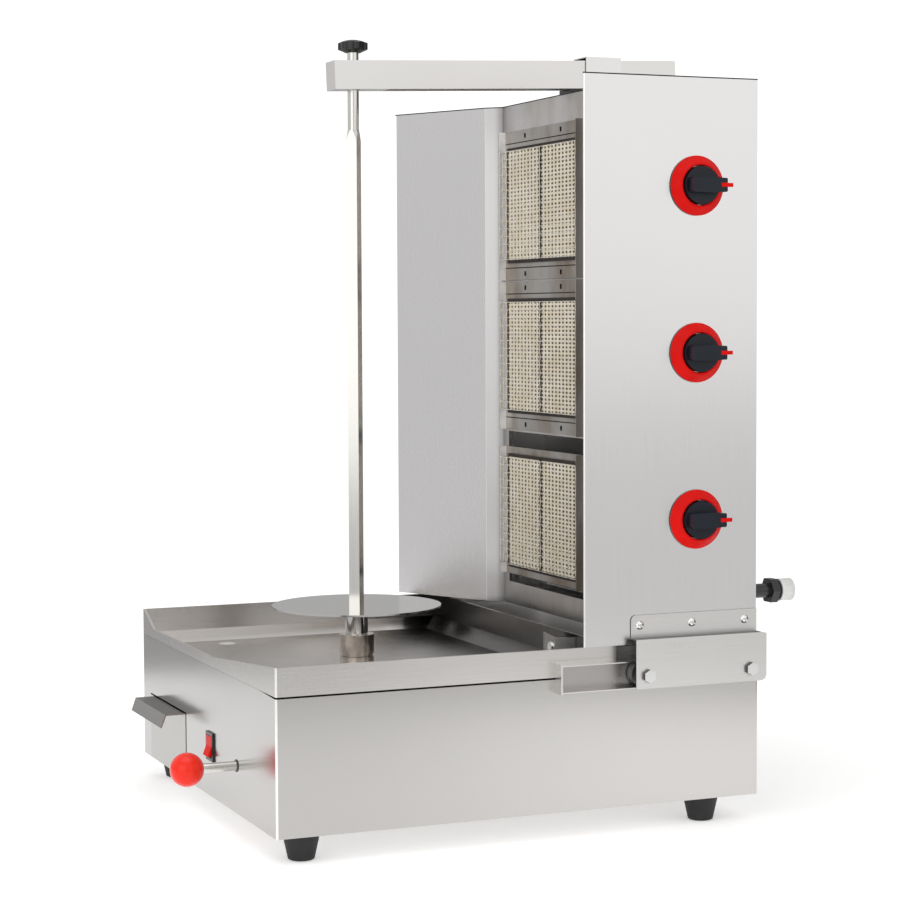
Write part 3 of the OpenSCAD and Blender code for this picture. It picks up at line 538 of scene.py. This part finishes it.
def paint_base():
    """The tray's rim, a painted highlight in the drain, painted shade on the drawer grip's top and each
    rail's web.
    """
    lo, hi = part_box("drip_tray")
    paint("drip_tray", TRAY_RIM, lambda c, n: c.x > hi.x - NEAR or c.x < lo.x + NEAR or c.y < lo.y + NEAR
          or (n.z > SQUARE and c.z > hi.z - 2 * NEAR and c.y < 0))
    drain = Vector(((lo.x + hi.x) / 2 - DRAIN_LEFT_OF_MIDDLE, lo.y + DRAIN_BEHIND_FRONT))
    # Painted highlight: the drain's inner wall glows bright
    paint("drip_tray", PAINTED_HIGHLIGHT_EDGE, lambda c, n: abs(n.z) < MOSTLY and (c.xy - drain).length < DRAIN_RADIUS)
    # Painted shade: the top of the drawer's grip gets the dark deck steel
    paint("drawer_front", DECK, lambda c, n: n.z > SQUARE and c.y < lo.y)
    right_lo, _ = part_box("rail_right")
    _, left_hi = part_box("rail_left")
    for rail, web in (("rail_right", right_lo.x + SHEET), ("rail_left", left_hi.x - SHEET)):
        # Painted shade: the web of each rail is darker
        paint(rail, SHADED_RAIL_WEB, lambda c, n: abs(n.x) > SQUARE and abs(c.x - web) < NEAR)


def paint_highlights_and_shade():
    """Painted highlights on the front right's round corners; painted shade on side bracket edges and bolt
    head flats.
    """
    for node in ("base_casing", "drip_tray", "tower_side_right"):
        # Painted highlight: the round corners glow as bright lines
        paint(node, PAINTED_HIGHLIGHT_EDGE, lambda c, n: n.x > PARTLY and n.y < -PARTLY and abs(n.z) < PARTLY)
    for node in ("roller_bolts", "side_bracket_right", "side_bracket_left"):
        # Painted shade, partly cut edges: dark steel on the bracket edges and the bolt flats
        paint(node, CUT_AND_SHADE, lambda c, n: abs(n.x) < MOSTLY)


def paint_knobs():
    """Each red ring painted black for its lowest 1.7 mm, next to the panel, and the red pointer of each knob.
    """
    bezels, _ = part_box("knob_bezels")
    # The lowest part of each ring, next to the panel, is painted black
    paint("knob_bezels", BLACK, lambda c, n: c.x < bezels.x + BEZEL_BLACK_BAND)
    for knob in KNOBS:
        _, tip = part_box(knob)
        paint(knob, RED, lambda c, n: c.x > tip.x - POINTER_RISE or c.y > tip.y - POINTER_LENGTH)


def paint_tower(middle):
    """Painted shade: the top sheet's edges for the gap round it, and a narrow strip beside the burners on
    each side sheet.
    """
    # Painted shade: the top sheet's edges are painted near-black
    paint("tower_top", SEAM_SHADE, lambda c, n: abs(n.z) < MOSTLY)
    for node in ("tower_side_right", "tower_side_left"):
        # Painted shade: the strip beside the burners gets the darker steel
        paint(node, STRIP, lambda c, n: STRIP_INNER < abs(c.x - middle) < STRIP_OUTER and n.y < -PARTLY)


def paint_burner(node, middle):
    """Painted shade on frame, centre bar, slots, grooves and rims; a painted highlight inside the left folded
    end.
    """
    lo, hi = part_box(node)
    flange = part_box("ceramic_tiles")[0].y + FLANGE_BEHIND_TILES
    centre, half_height = (lo.z + hi.z) / 2, (hi.z - lo.z) / 2

    # Painted shade: the raised frame and centre bar, the slot walls and the groove floors
    def in_burner_shade(c, n):
        across, depth = abs(c.x - middle), c.y - flange
        raised = depth < -0.2 * MM and across < FRAME_HALF_WIDTH
        slot_wall = abs(n.y) < MOSTLY and -0.1 * MM < depth < SHEET and across < SLOTS_HALF_WIDTH
        groove_floor = n.y < -MOSTLY and 0.4 * MM < depth < 0.9 * MM
        return raised or slot_wall or groove_floor

    paint(node, BURNER_SHADE, in_burner_shade)
    # Painted highlight: the inside of the left folded end glows bright
    paint(node, PAINTED_HIGHLIGHT_FOLD, lambda c, n: n.x > MOSTLY and c.x < middle - FOLDED_END and c.y < flange)
    # Painted shade: the top and bottom rims of the burner
    paint(node, BURNER_SHADE, lambda c, n: abs(n.z) > MOSTLY and abs(c.z - centre) > half_height - 2 * MM)


top_lo, top_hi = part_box("tower_top")
tower_middle = (top_lo.x + top_hi.x) / 2
paint_base()
paint_highlights_and_shade()
paint_knobs()
paint_tower(tower_middle)
for burner in BURNERS:
    paint_burner(burner, tower_middle)


# ---------------------------------------------------------------- woven guards

def add_piece(name, bm, mat, body):
    """Turn a mesh under construction into a smooth piece that rides on a body."""
    mesh = bpy.data.meshes.new(name)
    bm.normal_update()
    bm.to_mesh(mesh)
    bm.free()
    for face in mesh.polygons:
        face.use_smooth = True
    mesh.materials.append(mat)
    piece = bpy.data.objects.new(name, mesh)
    SCENE.collection.objects.link(piece)
    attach(piece, body)
    return piece


def add_wire(bm, points, radius, sides=6):
    """A round wire through the points, closed at both ends."""
    rings = []
    for i, point in enumerate(points):
        before = points[max(i - 1, 0)]
        after = points[min(i + 1, len(points) - 1)]
        along = (after - before).normalized()
        reference = Vector((0, 0, 1)) if abs(along.z) < 0.9 else Vector((1, 0, 0))
        u = along.cross(reference).normalized()
        v = along.cross(u).normalized()
        angles = [2 * math.pi * k / sides for k in range(sides)]
        rings.append([bm.verts.new(point + radius * (math.cos(a) * u + math.sin(a) * v)) for a in angles])
    for ring, following in zip(rings, rings[1:]):
        for k in range(sides):
            bm.faces.new((ring[k], ring[(k + 1) % sides], following[(k + 1) % sides], following[k]))
    bm.faces.new(rings[0][::-1])
    bm.faces.new(rings[-1])


def ripple(step, wire):
    """How far a wire stands forward or back where it passes each wire across it, two steps apart."""
    return 0.9 * WIRE_R * math.cos(math.pi * (step / 2 + wire))


def woven_guards():
    """Square wire mesh with a soft ripple, bent back at both sides, one in front of each burner."""
    lo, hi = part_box("wire_guards")
    tiles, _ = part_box("ceramic_tiles")
    centres = [(low.z + high.z) / 2 for low, high in map(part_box, BURNERS)]
    half_height = centres[0] - tiles.z - WIRE_R
    # The ripple stays inside the box of the CAD guards
    front, back = lo.y + 2.2 * WIRE_R, hi.y - 2 * WIRE_R
    left, right = lo.x + WIRE_R, hi.x - WIRE_R
    steps_x = [left + MESH_BEND + (right - left - 2 * MESH_BEND) * i / (2 * MESH_COLS)
               for i in range(2 * MESH_COLS + 1)]
    bm = bmesh.new()
    for centre in centres:
        steps_z = [centre + half_height * (i / MESH_ROWS - 1) for i in range(2 * MESH_ROWS + 1)]
        for row, z in enumerate(steps_z[::2]):
            weft = [Vector((x, front - ripple(i, row + 1), z)) for i, x in enumerate(steps_x)]
            add_wire(bm, [Vector((left, back, z)), Vector((left, front + MESH_BEND, z)), *weft,
                          Vector((right, front + MESH_BEND, z)), Vector((right, back, z))], WIRE_R)
        for column, x in enumerate(steps_x[::2]):
            warp = [Vector((x, front - ripple(i, column), z)) for i, z in enumerate(steps_z)]
            add_wire(bm, warp, WIRE_R)
    guards = add_piece("woven_guards", bm, WIRE, "tower")
    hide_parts("wire_guards")


woven_guards()
